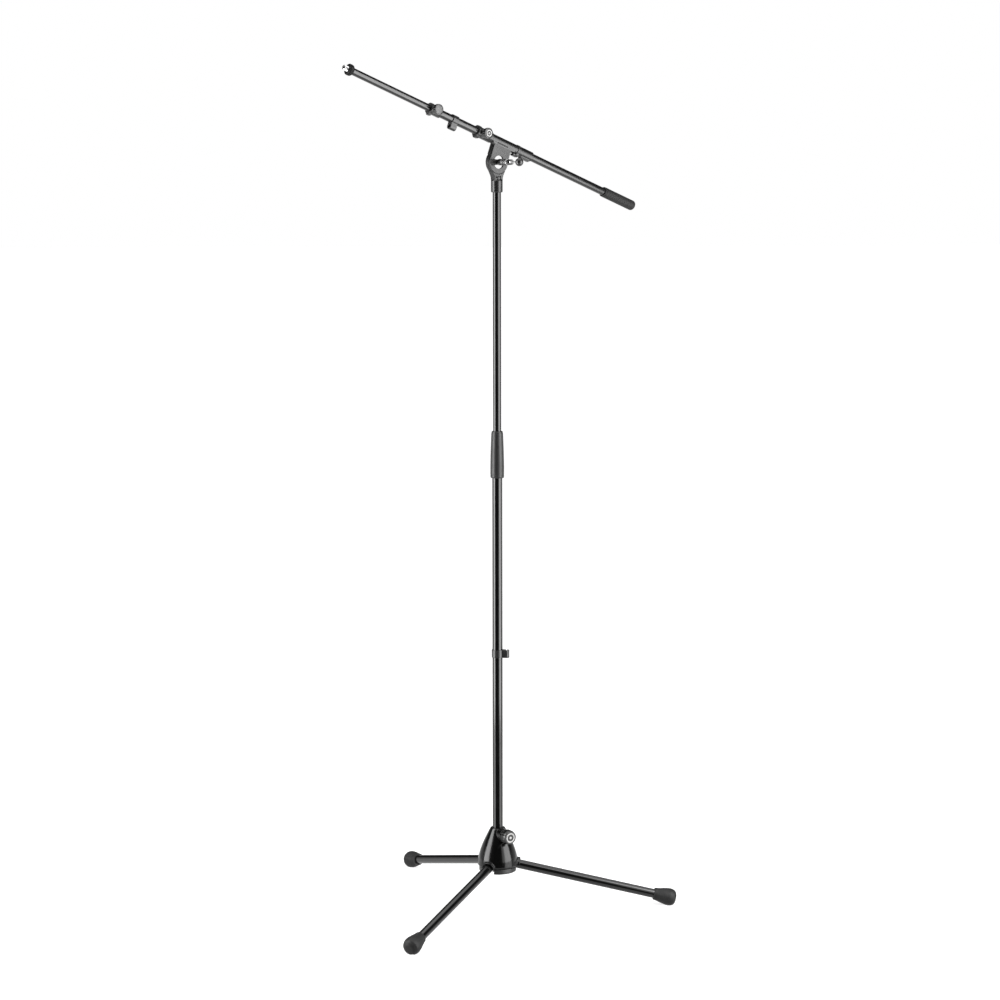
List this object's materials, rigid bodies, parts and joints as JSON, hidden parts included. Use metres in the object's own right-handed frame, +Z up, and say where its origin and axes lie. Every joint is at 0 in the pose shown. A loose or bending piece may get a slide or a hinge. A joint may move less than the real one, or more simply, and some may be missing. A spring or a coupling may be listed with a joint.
{
  "type": "boom microphone stand",
  "caption": "Folding tripod microphone stand with a telescopic column, a tilting swivel with T-bar clamp and a telescopic boom ending in a microphone thread.",
  "frame": {"origin": "on the floor, directly under the column axis", "axes": "+Z up along the column; +X along leg 1; the boom's thread end points to azimuth 218 degrees"},
  "size_m": [0.6398, 0.6198, 1.6339],
  "materials": {
    "tube_paint": "gloss black stove enamel",
    "boom_paint": "satin black enamel",
    "bell_paint": "gloss black",
    "hub_casting": "satin black die-casting",
    "powder_casting": "fine textured black powder coat",
    "black_plastic": "moulded black plastic",
    "knob_plastic": "moulded black knob",
    "ring_cap": "pale inlay disc with a plain ring",
    "grey_cap": "grey cover disc",
    "rubber": "matte ribbed rubber",
    "zinc": "bright zinc",
    "lock_nut_black": "black knurled",
    "steel": "zinc-plated steel",
    "nylon": "glass-filled nylon"
  },
  "bodies": {
    "lower_column": {"lower_tube": "tube_paint", "lower_tube_cap": "black_plastic", "clutch_body": "nylon", "clutch_collet": "nylon"},
    "base": {"bell_housing": "bell_paint", "leg_hub": "hub_casting", "hub_bush": "nylon", "hub_screws": "steel", "leg_hinge_pins": "steel"},
    "base_knob": {"base_clamp_knob": "knob_plastic", "base_clamp_screw": "steel", "base_knob_cap": "ring_cap", "base_clamp_shoe": "nylon"},
    "leg_1": {"leg_tube_1": "tube_paint", "leg_knuckle_1": "nylon", "leg_foot_1": "rubber"},
    "leg_2": {"leg_tube_2": "tube_paint", "leg_knuckle_2": "nylon", "leg_foot_2": "rubber"},
    "leg_3": {"leg_tube_3": "tube_paint", "leg_knuckle_3": "nylon", "leg_foot_3": "rubber"},
    "column_clip": {"column_cable_clip": "black_plastic"},
    "clutch": {"clutch_grip": "black_plastic"},
    "column_guide": {"upper_tube_guide": "nylon"},
    "upper_column": {"upper_tube": "tube_paint", "upper_tube_plug": "nylon", "upper_tube_insert": "steel", "swivel_base": "powder_casting", "tilt_washer": "nylon"},
    "t_bar": {"t_bar_screw": "steel", "t_bar_collar": "steel", "t_bar_head": "zinc", "t_bar_pin": "steel"},
    "t_bar_handle": {"t_bar_lever": "steel", "t_bar_ball": "knob_plastic"},
    "holder": {"boom_holder": "powder_casting", "clamp_bridge": "powder_casting", "holder_clamp_body": "black_plastic", "holder_rear_bush": "black_plastic", "holder_rear_collar": "powder_casting"},
    "holder_knob": {"holder_clamp_knob": "knob_plastic", "holder_clamp_screw": "steel", "holder_knob_cap": "ring_cap", "holder_clamp_shoe": "nylon"},
    "boom_outer": {"boom_outer_tube": "boom_paint", "boom_grip": "rubber", "boom_clamp_body": "black_plastic"},
    "boom_clip": {"boom_cable_clip": "black_plastic"},
    "boom_knob": {"boom_clamp_knob": "knob_plastic", "boom_clamp_screw": "steel", "boom_knob_cap": "grey_cap", "boom_clamp_shoe": "nylon"},
    "boom_guide": {"inner_tube_guide": "nylon"},
    "boom_inner": {"boom_inner_tube": "boom_paint", "inner_tube_plug": "nylon", "thread_stud": "zinc"},
    "nut": {"lock_nut": "lock_nut_black"}
  },
  "joints": [
    {"name": "hub_slide", "type": "slide", "parent": "lower_column", "child": "base", "axis": [0, 0, 1], "range_m": [0, 0.25]},
    {"name": "base_knob_turn", "type": "hinge", "parent": "base", "child": "base_knob", "pos_m": [0.015, -0.02598, 0.1495], "axis": [0.5, -0.866, 0], "range_deg": [0, 180]},
    {"name": "leg_1_fold", "type": "hinge", "parent": "base", "child": "leg_1", "pos_m": [0.028, 0, 0.08925], "axis": [0, 1, 0], "range_deg": [0, 76]},
    {"name": "leg_2_fold", "type": "hinge", "parent": "base", "child": "leg_2", "pos_m": [-0.014, 0.02425, 0.08925], "axis": [-0.866, -0.5, 0], "range_deg": [0, 76]},
    {"name": "leg_3_fold", "type": "hinge", "parent": "base", "child": "leg_3", "pos_m": [-0.014, -0.02425, 0.08925], "axis": [0.866, -0.5, 0], "range_deg": [0, 76]},
    {"name": "column_clip_slide", "type": "slide", "parent": "lower_column", "child": "column_clip", "axis": [0, 0, 1], "range_m": [-0.08, 0.3]},
    {"name": "clutch_twist", "type": "hinge", "parent": "lower_column", "child": "clutch", "pos_m": [0, 0, 0.9], "axis": [0, 0, 1], "range_deg": [0, 120]},
    {"name": "height_slide", "type": "slide", "parent": "lower_column", "child": "column_guide", "axis": [0, 0, 1], "range_m": [-0.43, 0.15]},
    {"name": "column_spin", "type": "hinge", "parent": "column_guide", "child": "upper_column", "pos_m": [0, 0, 0.627], "axis": [0, 0, 1], "continuous": true},
    {"name": "boom_tilt", "type": "hinge", "parent": "upper_column", "child": "holder", "pos_m": [0, 0, 1.4577], "axis": [0.6157, -0.788, 0], "range_deg": [-45, 80]},
    {"name": "t_bar_turn", "type": "hinge", "parent": "upper_column", "child": "t_bar", "pos_m": [0.01231, -0.01576, 1.4577], "axis": [0.6157, -0.788, 0], "range_deg": [0, 270]},
    {"name": "t_bar_fold", "type": "hinge", "parent": "t_bar", "child": "t_bar_handle", "pos_m": [0.02555, -0.0327, 1.4577], "axis": [0, 0, 1], "range_deg": [-80, 80]},
    {"name": "boom_slide", "type": "slide", "parent": "holder", "child": "boom_outer", "axis": [-0.7414, -0.5793, 0.3387], "range_m": [-0.045, 0.19]},
    {"name": "holder_knob_turn", "type": "hinge", "parent": "holder", "child": "holder_knob", "pos_m": [-0.02029, -0.03489, 1.51158], "axis": [0.6157, -0.788, 0], "range_deg": [0, 180]},
    {"name": "boom_clip_slide", "type": "slide", "parent": "boom_outer", "child": "boom_clip", "axis": [-0.7414, -0.5793, 0.3387], "range_m": [-0.004, 0.026]},
    {"name": "boom_knob_turn", "type": "hinge", "parent": "boom_outer", "child": "boom_knob", "pos_m": [-0.11432, -0.10708, 1.55426], "axis": [0.6157, -0.788, 0], "range_deg": [0, 180]},
    {"name": "boom_extension", "type": "slide", "parent": "boom_outer", "child": "boom_guide", "axis": [-0.7414, -0.5793, 0.3387], "range_m": [-0.17, 0.1]},
    {"name": "boom_spin", "type": "hinge", "parent": "boom_guide", "child": "boom_inner", "pos_m": [0.06204, 0.04847, 1.46974], "axis": [-0.7414, -0.5793, 0.3387], "continuous": true},
    {"name": "lock_nut_turn", "type": "hinge", "parent": "boom_inner", "child": "nut", "pos_m": [-0.27286, -0.21318, 1.62275], "axis": [-0.7414, -0.5793, 0.3387], "continuous": true}
  ]
}
